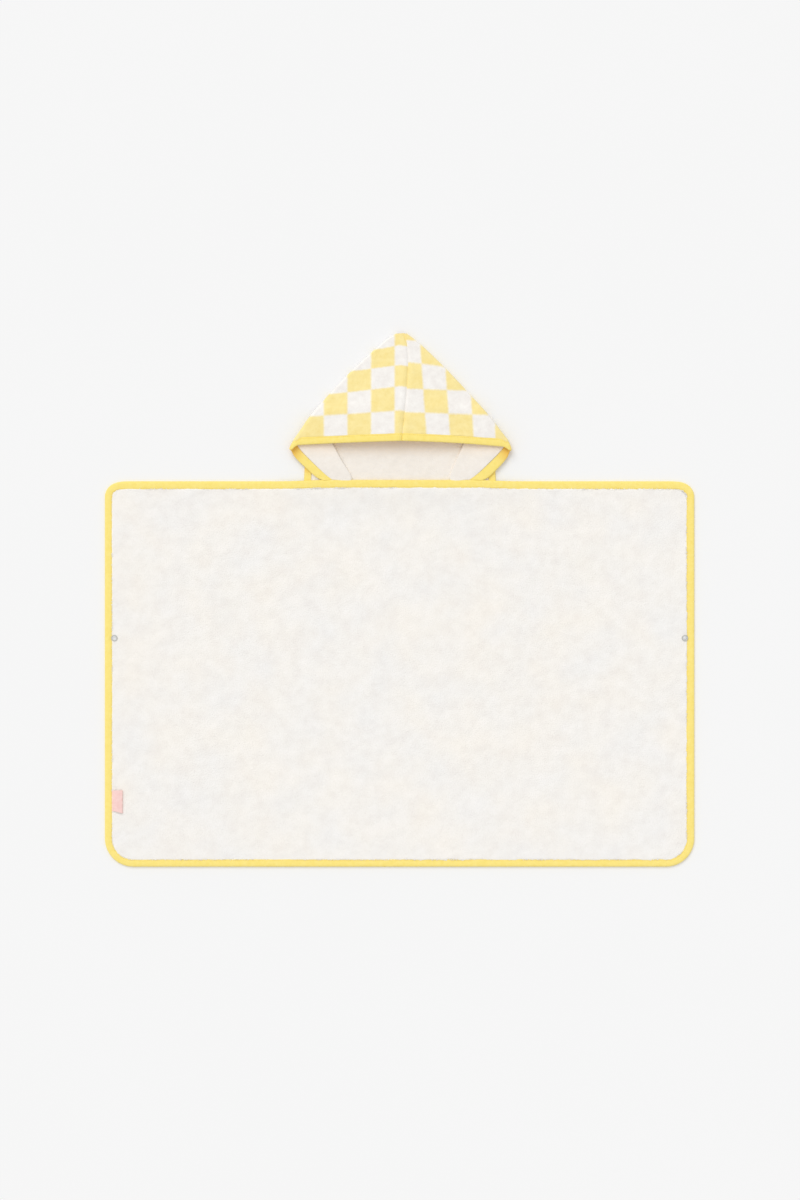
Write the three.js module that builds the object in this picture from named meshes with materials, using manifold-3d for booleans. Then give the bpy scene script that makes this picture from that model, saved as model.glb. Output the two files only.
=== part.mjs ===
// A child's hooded bath cape, laid flat with its inside up. Millimetres, Z up.
// X runs across the cape and Y from its lower hem to the point of the hood. Heights on the
// hood ("v") are taken from the neck seam, which lies on the body's upper edge.
import * as THREE from "three";
import { mergeVertices } from "three/addons/utils/BufferGeometryUtils.js";
import Module from "manifold-3d";

// ---------- driving dimensions ----------
const BODY_WIDTH = 1000;
const BODY_HEIGHT = 654;
const CORNER_TOP = 27; // outer radius of the two upper corners
const CORNER_BOTTOM = 48; // outer radius of the two lower corners
const PILE = 4; // thickness of the plush terry of the body
const HOOD_RISE = 255; // from the neck seam to the point of the hood
const HOOD_WALL = 3; // thickness of the hood's terry
const GAP = 0.3; // room between sewn pieces

// The bias tape is a folded strip. It holds the cloth's edge, pressed thin, between two legs.
const TAPE_HEIGHT = 4.2;
const TAPE_LEG = 0.8;
const TAPE_WIDTH = { top: 14, right: 13.2, bottom: 12.4, left: 12.6 };
const TONGUE_INSET = 2; // the cloth's edge, from the outside of the tape
const GRID_INSET = 16; // where the body's even middle begins

// The body's upper edge lies over the hood's seam allowance and is raised by it.
const LIFT = 3.1;
const LIFT_HALF_WIDTH = { flat: 165, gone: 240 };
const LIFT_DEPTH = { flat: 14, gone: 60 };
const SEAM_ALLOWANCE = 9;

const HOOD_TAPE = 12; // leg of the tape round the hood's mouth
const HOOD_TAPE_HALF = 2; // half its height
const STRIP_HEIGHT = 29; // the bound ends of the hood's edge beside the neck
const STRIP_TOP = 3.2;

const SNAP_INSET = 16.2;
const SNAP_DROP = 266; // below the body's upper edge
const SNAP_RADIUS = 5.5;
const LABEL = { reach: 18.5, height: 37, bottom: 93, loop: 2.3, wall: 0.7, slant: 5 };

const HEM_Y = -(BODY_HEIGHT + HOOD_RISE) / 2;
const NECK_Y = HEM_Y + BODY_HEIGHT;
const HALF_WIDTH = BODY_WIDTH / 2;

// Outline of the lying hood: half widths either side of the middle, by height.
const OUTLINE = [
  { v: 50, left: 185, right: 188.5 },
  { v: 57, left: 186, right: 189 },
  { v: 66, left: 181, right: 184.5 },
  { v: 83, left: 169.5, right: 172 },
  { v: 107, left: 154, right: 154 },
  { v: 143, left: 123.5, right: 122.5 },
  { v: 185, left: 83, right: 82.5 },
  { v: 227, left: 37, right: 39 },
  { v: 246, left: 15, right: 19 },
  { v: 251, left: 4, right: 14 },
];
// The centre seam wanders a little to the right of the middle.
const SEAM = [
  { v: -10, x: 4 },
  { v: 70, x: 4 },
  { v: 110, x: 8 },
  { v: 150, x: 12 },
  { v: 235, x: 12 },
  { v: 255, x: 6 },
];
// The side flaps are folded into the mouth: where the row that starts at the side fold at
// height v ends, first along the neck seam, then along the inner crease.
const FLAP = [
  { v: 54, left: 129, right: 138, endV: 1 },
  { v: 68, left: 114, right: 118.5, endV: 1 },
  { v: 84, left: 80, right: 84, endV: 1 },
  { v: 98, left: 101, right: 98, endV: 41 },
  { v: 112, left: 118, right: 113, endV: 75 },
  { v: 128, left: 127, right: 125, endV: 112 },
  { v: 145, left: 113, right: 111, endV: 134 },
  { v: 185, left: 74, right: 73, endV: 175 },
  { v: 227, left: 29, right: 31, endV: 217 },
  { v: 251, left: -2, right: 12, endV: 240 },
];
// Middle of the front layer at the centre seam, and the side fold's radius, by height.
const CROWN = [
  { v: 69, z: 20.5, radius: 4.2 },
  { v: 130, z: 16.5, radius: 4 },
  { v: 200, z: 11.5, radius: 3.4 },
  { v: 255, z: 7, radius: 2.6 },
];
const FLAP_BOTTOM = 2.8; // the flap and the layer hidden under it are one, on the back layer
const FLAP_HALF = { neck: 2.35, full: 3, single: 1.45 };
const TONGUE_HALF = 0.8;
const MOUTH_V = 69; // height of the mouth's edge at the centre seam
// The brow's edge runs out level to these heights, drops to the side fold over its last part,
// and rises a little in between. The slanted edges below it bow outwards.
const BROW_V = { left: 61.5, right: 58.5 };
const BROW_DROP = { left: 5.6, right: 3.8 };
const BROW_DROP_FADE = { from: 14, to: 75 }; // height steps over which the drop dies out
const CORNER_DROP = 1.2; // more drop at the very edge, gone within CORNER_DROP_STEP
const CORNER_DROP_STEP = 11;
const TURN_DOWN = 0.94; // share of the row at which the drop starts
const BROW_ARCH = { left: 0.6, right: 1.6, reach: 45 };
const SIDE_BOW = { left: 4.2, right: 4.6, reach: 60, from: 75, to: 100 };
const STRIP_X = { left: 162.3, right: 163.4 };

// ---------- small helpers ----------
const { smoothstep, lerp, clamp } = THREE.MathUtils;
const vec = (x, y, z) => new THREE.Vector3(x, y, z);
const sum = (origin, ...terms) =>
  terms.reduce((point, [direction, by]) => point.addScaledVector(direction, by), origin.clone());

// Reads a table's column at height v, straight between its rows.
function read(table, v, column) {
  const next = clamp(table.findLastIndex((row) => row.v < v) + 1, 1, table.length - 1);
  const [a, b] = [table[next - 1], table[next]];
  return lerp(a[column], b[column], clamp((v - a.v) / (b.v - a.v), 0, 1));
}

// A closed solid from faces over points, turned so that its faces point out.
function solidGeometry(points, triangles) {
  const volume = triangles.reduce(
    (total, [a, b, c]) => total + points[a].dot(points[b].clone().cross(points[c])),
    0,
  );
  const turned = volume < 0 ? triangles.map(([a, b, c]) => [a, c, b]) : triangles;
  const geometry = new THREE.BufferGeometry().setFromPoints(points);
  geometry.setIndex(turned.flat());
  return geometry;
}

const quad = (a, b, c, d) => [
  [a, b, c],
  [a, c, d],
];

// A wall of cloth between two grids of points, closed along its four edges.
function wallBetween(upper, lower) {
  const rows = upper.length;
  const columns = upper[0].length;
  const under = rows * columns;
  const at = (r, c) => r * columns + c;
  const triangles = [];
  for (let r = 0; r < rows - 1; r += 1) {
    for (let c = 0; c < columns - 1; c += 1) {
      const corners = [at(r, c), at(r, c + 1), at(r + 1, c + 1), at(r + 1, c)];
      triangles.push(...quad(...corners));
      triangles.push(...quad(...corners.map((k) => k + under).reverse()));
    }
  }
  const rim = [];
  for (let c = 0; c < columns; c += 1) rim.push(at(0, c));
  for (let r = 1; r < rows; r += 1) rim.push(at(r, columns - 1));
  for (let c = columns - 2; c >= 0; c -= 1) rim.push(at(rows - 1, c));
  for (let r = rows - 2; r > 0; r -= 1) rim.push(at(r, 0));
  rim.forEach((p, k) => {
    const q = rim[(k + 1) % rim.length];
    triangles.push(...quad(q, p, p + under, q + under));
  });
  return solidGeometry([...upper.flat(), ...lower.flat()], triangles);
}

// ---------- joining and cutting ----------
const wasm = await Module();
wasm.setup();

function toManifold(geometry) {
  const bare = geometry.clone();
  bare.deleteAttribute("normal");
  bare.deleteAttribute("uv");
  const merged = mergeVertices(bare, 1e-3);
  return new wasm.Manifold(
    new wasm.Mesh({
      numProp: 3,
      vertProperties: new Float32Array(merged.attributes.position.array),
      triVerts: new Uint32Array(merged.index.array),
    }),
  );
}

function toGeometry(manifold) {
  const { vertProperties, triVerts } = manifold.getMesh();
  const geometry = new THREE.BufferGeometry();
  geometry.setAttribute("position", new THREE.BufferAttribute(vertProperties, 3));
  geometry.setIndex(new THREE.BufferAttribute(triVerts, 1));
  return geometry;
}

// An upright disc of cloth or air, from z = low to z = high.
function upright(radius, low, high, x, y) {
  const disc = new THREE.CylinderGeometry(radius, radius, high - low, 24);
  return disc.rotateX(Math.PI / 2).translate(x, y, (low + high) / 2);
}

// ---------- body ----------
// How far the body is raised at (x, y) by the hood's seam allowance.
function lift(x, y) {
  const { flat, gone } = LIFT_HALF_WIDTH;
  const across = 1 - smoothstep(Math.abs(x), flat, gone);
  const down = 1 - smoothstep(NECK_Y - y, LIFT_DEPTH.flat, LIFT_DEPTH.gone);
  return LIFT * across * down;
}

// Width of the tape's leg where the edge faces along (nx, ny).
function tapeWidth(nx, ny) {
  const side = nx > 0 ? TAPE_WIDTH.right : TAPE_WIDTH.left;
  const end = ny > 0 ? TAPE_WIDTH.top : TAPE_WIDTH.bottom;
  return side * nx * nx + end * ny * ny;
}

// The body's middle as columns of points, inside the tape all round. Its upper and lower ends
// follow the rounded corners.
function bodyGrid() {
  const half = HALF_WIDTH - GRID_INSET;
  const radii = { top: CORNER_TOP - GRID_INSET, bottom: CORNER_BOTTOM - GRID_INSET };
  const arc = (radius) => [0, 22.5, 45, 67.5, 90].map(
    (degrees) => radius * (1 - Math.cos((degrees * Math.PI) / 180)),
  );
  const near = [...new Set([...arc(radii.top), ...arc(radii.bottom)])].sort((a, b) => a - b);
  const middle = 12;
  const inner = half - radii.bottom;
  const xs = near.map((dx) => dx - half);
  for (let k = 1; k < middle; k += 1) xs.push(lerp(-inner, inner, k / middle));
  xs.push(...near.map((dx) => half - dx).reverse());

  const ends = (x, radius) => {
    const into = Math.min(half - Math.abs(x), radius);
    return radius - Math.sqrt(radius * radius - (radius - into) ** 2);
  };
  const rows = 6;
  return xs.map((x) => {
    const low = HEM_Y + GRID_INSET + ends(x, radii.bottom);
    const high = NECK_Y - GRID_INSET - ends(x, radii.top);
    return Array.from({ length: rows + 1 }, (_, k) => vec(x, lerp(low, high, k / rows), 0));
  });
}

// The rim of that middle, once round, with each point's outward direction.
function bodyRim(grid) {
  const half = HALF_WIDTH - GRID_INSET;
  const last = grid[0].length - 1;
  const direction = (p, upper) => {
    const radius = (upper ? CORNER_TOP : CORNER_BOTTOM) - GRID_INSET;
    const end = upper ? NECK_Y - GRID_INSET - radius : HEM_Y + GRID_INSET + radius;
    const beyond = half - radius;
    if (Math.abs(p.x) <= beyond) return vec(0, upper ? 1 : -1, 0);
    return vec(p.x - Math.sign(p.x) * beyond, p.y - end, 0).normalize();
  };
  const rim = [];
  grid.forEach((column) => rim.push({ p: column[0], n: direction(column[0], false) }));
  grid.at(-1).slice(1, last).forEach((p) => rim.push({ p, n: vec(1, 0, 0) }));
  [...grid].reverse().forEach((c) => rim.push({ p: c[last], n: direction(c[last], true) }));
  grid[0].slice(1, last).reverse().forEach((p) => rim.push({ p, n: vec(-1, 0, 0) }));
  return rim;
}

const GRID = bodyGrid();
const RIM = bodyRim(GRID);

function bodyPanel() {
  const flat = GRID.flat().map((p) => ({ p, low: 0, high: PILE }));
  const ring = (inset, low, high) =>
    RIM.map(({ p, n }) => ({ p: sum(p, [n, GRID_INSET - inset(n)]), low, high }));
  const tongue = [TAPE_LEG + GAP, TAPE_HEIGHT - 1 - GAP];
  const points = [
    ...flat,
    ...ring((n) => tapeWidth(n.x, n.y) + 1.4, 0, PILE - 0.1),
    ...ring((n) => tapeWidth(n.x, n.y) + 0.4, ...tongue),
    ...ring(() => TONGUE_INSET, ...tongue),
  ];
  const under = points.length;
  const placed = ["high", "low"].flatMap((face) =>
    points.map((point) => vec(point.p.x, point.p.y, point[face] + lift(point.p.x, point.p.y))),
  );

  const rows = GRID[0].length;
  const triangles = [];
  const both = (corners) => {
    triangles.push(...quad(...corners));
    triangles.push(...quad(...corners.map((k) => k + under).reverse()));
  };
  for (let c = 0; c < GRID.length - 1; c += 1) {
    for (let r = 0; r < rows - 1; r += 1) {
      const at = c * rows + r;
      both([at, at + rows, at + rows + 1, at + 1]);
    }
  }
  const start = RIM.map(({ p }) => GRID.flat().indexOf(p));
  const loops = [start];
  for (let k = 0; k < 3; k += 1) loops.push(RIM.map((_, j) => flat.length + k * RIM.length + j));
  RIM.forEach((_, j) => {
    const next = (j + 1) % RIM.length;
    for (let k = 0; k < 3; k += 1) {
      both([loops[k][next], loops[k][j], loops[k + 1][j], loops[k + 1][next]]);
    }
    const [p, q] = [loops[3][j], loops[3][next]];
    triangles.push(...quad(q, p, p + under, q + under));
  });
  return solidGeometry(placed, triangles);
}

// The tape's section at a width, from the upper leg's end round the edge to the lower leg's end:
// distance from the outside of the tape, and height.
function tapeSection(width) {
  const top = TAPE_HEIGHT;
  const mid = top / 2;
  const inner = { low: TAPE_LEG, high: top - 1 };
  return {
    outer: [[width, top - 0.3], [width - 3, top], [1.9, top], [0.6, top - 0.7], [0, mid],
      [0.6, 0.7], [1.9, 0], [width - 3, 0], [width, 0]],
    inner: [[width, inner.high], [width - 3, inner.high], [2.2, inner.high],
      [1.5, inner.high - 0.3], [1.3, mid], [1.5, inner.low + 0.3], [2.2, inner.low],
      [width - 3, inner.low], [width, inner.low]],
  };
}

// One run of the body's tape, from corner to corner.
function bindingRun(from, to) {
  const count = (to - from + RIM.length) % RIM.length;
  const surfaces = { outer: [], inner: [] };
  for (let k = 0; k <= count; k += 1) {
    const { p, n } = RIM[(from + k) % RIM.length];
    const along = vec(-n.y, n.x, 0);
    const trim = k === 0 ? GAP / 2 : k === count ? -GAP / 2 : 0;
    const edge = sum(p, [n, GRID_INSET], [along, trim]);
    const section = tapeSection(tapeWidth(n.x, n.y));
    for (const face of ["outer", "inner"]) {
      surfaces[face].push(section[face].map(([inset, z]) => {
        const place = sum(edge, [n, -inset]);
        return vec(place.x, place.y, z + lift(place.x, place.y));
      }));
    }
  }
  return wallBetween(surfaces.outer, surfaces.inner);
}

// The rim's point nearest the middle of a corner, in the direction (sx, sy).
function cornerOf(sx, sy) {
  const aim = vec(sx, sy, 0).normalize();
  const turn = RIM.map(({ n }) => n.dot(aim));
  return turn.indexOf(Math.max(...turn));
}

// ---------- hood ----------
const sideOf = (name) => (name === "left" ? -1 : 1);

// Height steps of the hood's rows above its face edge. The first two lie inside the tape.
const STEPS = [0, 12.6, 13.8, 22, 32, 45, 62, 82, 104, 128, 152, 175, 194];
const THIN_UNTIL = 13;
const FRONT = [0, 0.15, 0.3, 0.45, 0.6, 0.77, 0.94, 0.98];
const FOLD = [0, 30, 60, 90, 120, 150, 180].map((degrees) => (degrees * Math.PI) / 180);
const INWARD = [0.2, 0.4, 0.6, 0.8, 0.94, 1];
const FLAP_ROUNDING = [1, 1, 1, 1, 0.9, 0.5];

// One row of the hood's cloth: from the centre seam over the front layer, round the side fold
// and into the mouth to the flap's crease. Each station has its middle, its outward direction
// and half the cloth's thickness.
function hoodRow(name, step) {
  const side = sideOf(name);
  const drop = BROW_DROP[name] * (1 - smoothstep(step, BROW_DROP_FADE.from, BROW_DROP_FADE.to))
    + CORNER_DROP * (1 - smoothstep(step, 0, CORNER_DROP_STEP));
  const foldV = lerp(BROW_V[name], 251, step / STEPS.at(-1)) - drop;
  const seamV = lerp(MOUTH_V, HOOD_RISE - 1, step / STEPS.at(-1));
  const fold = vec(side * read(OUTLINE, foldV, name), foldV, 0);
  const seam = vec(read(SEAM, seamV, "x") + (side * GAP) / 2, seamV, 0);
  const end = vec(side * read(FLAP, foldV, name), read(FLAP, foldV, "endV"), 0);
  const thin = step < THIN_UNTIL;
  const doubled = 1 - smoothstep(foldV, 112, 145);
  const radius = read(CROWN, foldV, "radius");
  const crown = read(CROWN, seamV, "z");

  const flapAt = (v, rounding) => {
    const low = smoothstep(v, 0, 25);
    if (thin) return { z: lerp(5.5, 5.8, low), half: TONGUE_HALF };
    const full = lerp(FLAP_HALF.neck, FLAP_HALF.full, low);
    const half = lerp(FLAP_HALF.single, full, doubled) * rounding;
    return { z: lerp(1.5, FLAP_BOTTOM + half, doubled), half };
  };
  const base = flapAt(foldV, 1);
  const zTop = base.z + 2 * radius;
  const frontHalf = thin ? TONGUE_HALF : HOOD_WALL / 2;
  const toSeam = seam.clone().sub(fold);
  const toEnd = end.clone().sub(fold);
  const [reach, depth] = [toSeam.length(), toEnd.length()];
  toSeam.normalize();
  toEnd.normalize();

  const arch = BROW_ARCH[name] * Math.exp(-step / BROW_ARCH.reach);
  const front = FRONT.map((f) => {
    const turnedDown = clamp((f - TURN_DOWN) / (1 - TURN_DOWN), 0, 1) ** 1.6;
    const p = sum(fold, [toSeam, lerp(reach, radius, f)]);
    p.y += arch * Math.sin(Math.PI * f) + drop * (f - turnedDown);
    p.z = lerp(crown, zTop, (1 - Math.cos(Math.PI * f)) / 2);
    return { p, n: vec(0, 0, 1), half: frontHalf };
  });
  const turn = FOLD.map((angle) => {
    const share = angle / Math.PI;
    const inward = toSeam.clone().lerp(toEnd, share).normalize();
    const p = sum(fold, [inward, radius * (1 - Math.sin(angle))]);
    p.z = base.z + radius * (1 + Math.cos(angle));
    const n = vec(-inward.x * Math.sin(angle), -inward.y * Math.sin(angle), Math.cos(angle));
    return { p, n, half: lerp(frontHalf, base.half, share) };
  });
  const outward = vec(-side * toEnd.y, side * toEnd.x, 0);
  const bow = SIDE_BOW[name] * Math.exp(-step / SIDE_BOW.reach)
    * (1 - smoothstep(foldV, SIDE_BOW.from, SIDE_BOW.to));
  const flap = INWARD.map((f, k) => {
    const p = sum(fold, [toEnd, lerp(radius, depth, f)], [outward, bow * (1 - (1 - 2 * f) ** 4)]);
    const { z, half } = flapAt(p.y, FLAP_ROUNDING[k]);
    p.z = z;
    return { p, n: vec(0, 0, -1), half };
  });
  return [...front, ...turn, ...flap].map((s) => {
    s.p.y += NECK_Y;
    return s;
  });
}

// The back layer of one hood half: a flat wall from the centre seam to its outer edge.
function hoodBack(name) {
  const side = sideOf(name);
  const heights = [-SEAM_ALLOWANCE, 0, 29.6, 31, 45, 60, 75, 107, 143, 185, 227, 246];
  const under = [
    { v: -SEAM_ALLOWANCE, inset: 0 },
    { v: 31, inset: 2 },
    { v: 45, inset: 1 },
    { v: 60, inset: -7 },
    { v: 75, inset: -9 },
  ];
  const outerAt = (v) => (v > 75
    ? read(OUTLINE, v, name) - 5.5
    : STRIP_X[name] - TONGUE_INSET - read(under, v, "inset"));
  const faces = { high: [], low: [] };
  heights.forEach((v) => {
    const seam = read(SEAM, v, "x") + (side * GAP) / 2;
    const outer = side * outerAt(v);
    const bound = v < 30;
    const edge = [0, 10.8, 12].map((inset) => outer - side * Math.min(inset, Math.abs(outer - seam) / 3));
    const inner = [0.35, 0.7, 1].map((f) => lerp(edge[2], seam, f));
    const xs = [...edge, ...inner];
    const high = v < 0 ? HOOD_WALL - 0.3 : HOOD_WALL;
    faces.high.push(xs.map((x, k) => vec(x, NECK_Y + v, bound && k < 2 ? 2.1 : high)));
    faces.low.push(xs.map((x, k) => vec(x, NECK_Y + v, bound && k < 2 ? 1.1 : 0)));
  });
  return wallBetween(faces.high, faces.low);
}

function hoodHalf(name) {
  const rows = STEPS.map((step) => hoodRow(name, step));
  const faceOf = (sign) => rows.map((row) => row.map((s) => sum(s.p, [s.n, sign * s.half])));
  const shell = toManifold(wallBetween(faceOf(1), faceOf(-1)));
  return toGeometry(shell.add(toManifold(hoodBack(name))));
}

// Tape round the hood's mouth, made from the points of the cloth's edge: stations from..to.
function mouthTape(name, from, to) {
  const edge = hoodRow(name, STEPS[0]);
  const inside = hoodRow(name, STEPS[1]);
  const wide = HOOD_TAPE / STEPS[1];
  const h = HOOD_TAPE_HALF;
  const clear = TONGUE_HALF + GAP;
  const outer = [[wide, h - 0.2], [0.7 * wide, h], [0.02, h], [-0.08, 0.7 * h], [-0.13, 0],
    [-0.08, -0.7 * h], [0.02, -h], [0.7 * wide, -h], [wide, -h + 0.2]];
  const inner = [[wide, clear], [0.7 * wide, clear], [0.01, clear], [-0.02, 0.7 * clear],
    [-0.035, 0], [-0.02, -0.7 * clear], [0.01, -clear], [0.7 * wide, -clear], [wide, -clear]];
  const surface = (section) => {
    const stations = [];
    for (let k = from; k <= to; k += 1) {
      const into = inside[k].p.clone().sub(edge[k].p);
      const ahead = k === from ? 1 : -1;
      const along = edge[k + ahead].p.clone().sub(edge[k].p).normalize();
      const trim = k === from || k === to ? GAP / 2 : 0;
      const start = sum(edge[k].p, [along, k === 0 ? 0 : trim]);
      stations.push(section.map(([w, n]) => sum(start, [into, w], [edge[k].n, n])));
    }
    return stations;
  };
  return wallBetween(surface(outer), surface(inner));
}

// The short upright bound end of the hood's edge beside the neck.
function neckStrip(name) {
  const side = sideOf(name);
  const legs = { low: TAPE_LEG, high: STRIP_TOP - TAPE_LEG };
  const width = 12;
  const mid = STRIP_TOP / 2;
  const outer = [[width, STRIP_TOP], [1.4, STRIP_TOP], [0.4, STRIP_TOP - 0.6], [0, mid], [0.4, 0.6],
    [1.4, 0], [width, 0]];
  const inner = [[width, legs.high], [1.8, legs.high], [1.4, legs.high - 0.2], [1.3, mid],
    [1.4, legs.low + 0.2], [1.8, legs.low], [width, legs.low]];
  const surface = (section) => [0.4, STRIP_HEIGHT].map((v) => {
    const lean = (1.5 * v) / STRIP_HEIGHT;
    return section.map(([inset, z]) => vec(side * (STRIP_X[name] - lean - inset), NECK_Y + v, z));
  });
  return wallBetween(surface(outer), surface(inner));
}

// ---------- snaps and label ----------
const SNAP_Y = NECK_Y - SNAP_DROP;
const snapX = (name) => sideOf(name) * (HALF_WIDTH - SNAP_INSET);

// Ring of the snap on the inside, with its post through the cloth. The left one is a socket with
// a dished middle, the right one a stud with a raised middle.
function snapRing(name) {
  const seat = 4.65;
  const middle = name === "left"
    ? [[2.9, seat + 0.7], [2.3, seat + 0.9], [1.6, seat + 0.5], [0, seat + 0.4]]
    : [[2.9, seat + 0.7], [2.4, seat + 1.6], [1.8, seat + 2.1], [0, seat + 2.2]];
  const profile = [[0, 1.7], [1.5, 1.7], [1.5, seat], [5.1, seat], [SNAP_RADIUS, seat + 0.4],
    [5.3, seat + 1.1], [4.5, seat + 1.5], [3.6, seat + 1.1], ...middle];
  const lathe = new THREE.LatheGeometry(profile.map(([r, z]) => new THREE.Vector2(r, z)), 24);
  return lathe.rotateX(Math.PI / 2).translate(snapX(name), SNAP_Y, 0);
}

// Its smooth cap on the outside, sunk in the pile that the cape lies on.
function snapCap(name) {
  const profile = [[0, 0.15], [4.9, 0.15], [5.4, 0.5], [5.3, 1], [4.8, 1.2], [0, 1.3]];
  const lathe = new THREE.LatheGeometry(profile.map(([r, z]) => new THREE.Vector2(r, z)), 24);
  return lathe.rotateX(Math.PI / 2).translate(snapX(name), SNAP_Y, 0);
}

// Cuts the cap's seat and, where wanted, the post's hole.
function withSnapRoom(geometry, names, holes) {
  let solid = toManifold(geometry);
  for (const name of names) {
    solid = solid.subtract(toManifold(upright(SNAP_RADIUS + 0.4, -1, 1.5, snapX(name), SNAP_Y)));
    if (holes) solid = solid.subtract(toManifold(upright(1.8, 0, 9, snapX(name), SNAP_Y)));
  }
  return toGeometry(solid);
}

// A ribbon folded into a loop, lying from the tape's edge towards the middle.
function labelLoop() {
  const { reach, height, bottom, loop, wall, slant } = LABEL;
  const x0 = -HALF_WIDTH + TAPE_WIDTH.left + GAP;
  const base = PILE + GAP;
  const r = loop / 2;
  const turn = [90, 60, 30, 0, -30, -60, -90].map((degrees) => (degrees * Math.PI) / 180);
  const path = (inset) => [
    [0, base + loop - inset - 0.5],
    [reach * 0.55, base + loop - inset],
    ...turn.map((a) => [reach - r + (r - inset) * Math.cos(a), base + r + (r - inset) * Math.sin(a)]),
    [reach * 0.55, base + inset],
    [0, base + inset],
  ];
  const surface = (inset) => [0, 0.5, 1].map((f) => path(inset).map(([x, z]) => {
    const low = HEM_Y + bottom - (slant * x) / reach;
    return vec(x0 + x, lerp(low, HEM_Y + bottom + height, f), z);
  }));
  return wallBetween(surface(0), surface(wall));
}

// ---------- the cape ----------
const finish = (color, roughness, metalness = 0) => ({ color, roughness, metalness });
const FINISH = {
  terry: finish("#f4f0ea", 0.95),
  check: finish("#fae8a4", 0.95),
  tape: finish("#fce680", 0.8),
  metal: finish("#c8c8c4", 0.4, 0.7),
  ribbon: finish("#f8d5ce", 0.75),
};

const cape = new THREE.Group();
function add(name, geometry, look) {
  const mesh = new THREE.Mesh(geometry, new THREE.MeshStandardMaterial(FINISH[look]));
  mesh.name = name;
  cape.add(mesh);
}

add("body_panel", withSnapRoom(bodyPanel(), ["left", "right"], true), "terry");

const corners = {
  bottomLeft: cornerOf(-1, -1),
  bottomRight: cornerOf(1, -1),
  topRight: cornerOf(1, 1),
  topLeft: cornerOf(-1, 1),
};
add("binding_bottom", bindingRun(corners.bottomLeft, corners.bottomRight), "tape");
add("binding_top", bindingRun(corners.topRight, corners.topLeft), "tape");
const sides = {
  right: bindingRun(corners.bottomRight, corners.topRight),
  left: bindingRun(corners.topLeft, corners.bottomLeft),
};

const foldMiddle = FRONT.length + 3;
const rowEnd = FRONT.length + FOLD.length + INWARD.length - 1;
for (const name of ["left", "right"]) {
  add(`binding_${name}`, withSnapRoom(sides[name], [name], false), "tape");
  add(`hood_${name}`, hoodHalf(name), "check");
  add(`hood_tape_brow_${name}`, mouthTape(name, 0, foldMiddle), "tape");
  add(`hood_tape_side_${name}`, mouthTape(name, foldMiddle, rowEnd), "tape");
  add(`hood_tape_end_${name}`, neckStrip(name), "tape");
  add(`snap_${name}_ring`, snapRing(name), "metal");
  add(`snap_${name}_cap`, snapCap(name), "metal");
}
add("label_loop", labelLoop(), "ribbon");

export default cape;
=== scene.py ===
"""Looks of a child's hooded bath cape that lies flat with its inside up.

All sizes are metres in the part's frame: +X to the cape's right edge, +Y to the hood's point, +Z up.
Heights on the hood ("v") are taken from the neck seam, on the body's upper edge.
"""

import bpy
import numpy as np
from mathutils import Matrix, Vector


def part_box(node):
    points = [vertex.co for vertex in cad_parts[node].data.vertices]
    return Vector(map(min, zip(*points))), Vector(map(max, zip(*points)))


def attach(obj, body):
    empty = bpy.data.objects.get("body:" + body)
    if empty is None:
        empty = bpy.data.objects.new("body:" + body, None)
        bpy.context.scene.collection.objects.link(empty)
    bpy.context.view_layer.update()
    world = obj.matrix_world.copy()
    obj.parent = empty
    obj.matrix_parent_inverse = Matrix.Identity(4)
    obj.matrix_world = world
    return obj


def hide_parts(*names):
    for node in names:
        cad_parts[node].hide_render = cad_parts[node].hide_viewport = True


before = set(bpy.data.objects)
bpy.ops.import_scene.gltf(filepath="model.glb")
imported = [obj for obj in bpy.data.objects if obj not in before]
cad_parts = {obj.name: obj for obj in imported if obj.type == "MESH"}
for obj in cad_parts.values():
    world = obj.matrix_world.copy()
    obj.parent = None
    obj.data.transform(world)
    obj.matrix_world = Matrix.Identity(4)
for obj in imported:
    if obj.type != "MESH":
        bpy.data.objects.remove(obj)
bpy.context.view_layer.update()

MM = 0.001

# ---------- sizes taken from the frame ----------
TAPE_LOW, TAPE_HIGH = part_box("binding_bottom")
HEM_Y = float(TAPE_LOW[1])
HALF_WIDTH = float(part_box("binding_left")[0][0]) * -1
HOOD_LOW, HOOD_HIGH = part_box("hood_left")
SEAM_ALLOWANCE = 9 * MM
NECK_Y = float(HOOD_LOW[1]) + SEAM_ALLOWANCE
HOOD_RISE = float(HOOD_HIGH[1]) - NECK_Y

# ---------- the body's sizes ----------
CORNER_TOP = 27 * MM
CORNER_BOTTOM = 48 * MM
PILE = 4.1 * MM
TAPE_HEIGHT = 4.2 * MM
TAPE_LEG = 0.8 * MM
TAPE_WIDTH = {"top": 13.6, "right": 13.4, "bottom": 12.4, "left": 12.6}
TONGUE = (1.1 * MM, 2.9 * MM)
TONGUE_INSET = 2 * MM
LIFT = 3.1 * MM
NECK_BULGE = 2.2 * MM
CORNER_DROOP = 1.5 * MM

# ---------- the hood's tables, in millimetres ----------
OUTLINE = {
    "v": [50, 57, 66, 83, 107, 143, 185, 227, 243, 250],
    "left": [184.5, 185, 180, 168, 151.5, 121.5, 81.5, 36, 16.5, 4],
    "right": [188, 188.2, 183.5, 170.5, 152, 121, 82, 39, 20, 10.5],
}
SEAM = {"v": [-10, 70, 110, 150, 235, 255], "x": [4, 4, 8, 12, 12, 5]}
FLAP = {
    "v": [54, 68, 82, 98, 112, 128, 145, 185, 227, 251],
    "left": [129, 111.5, 80, 101, 118, 127, 113, 74, 29, -1],
    "right": [138, 114, 84, 98, 113, 125, 111, 73, 31, 8],
    "end": [1.5, 1.5, 1.5, 41, 75, 112, 134, 175, 217, 242],
}
CROWN = {"v": [69, 130, 200, 256], "z": [20.3, 16.5, 11.5, 6.2], "radius": [4.2, 4, 3.4, 2.2]}
MOUTH_V = 69
BROW_V = {"left": 61.5, "right": 58.5}
BROW_DROP = {"left": 5.6, "right": 3.8}
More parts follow.
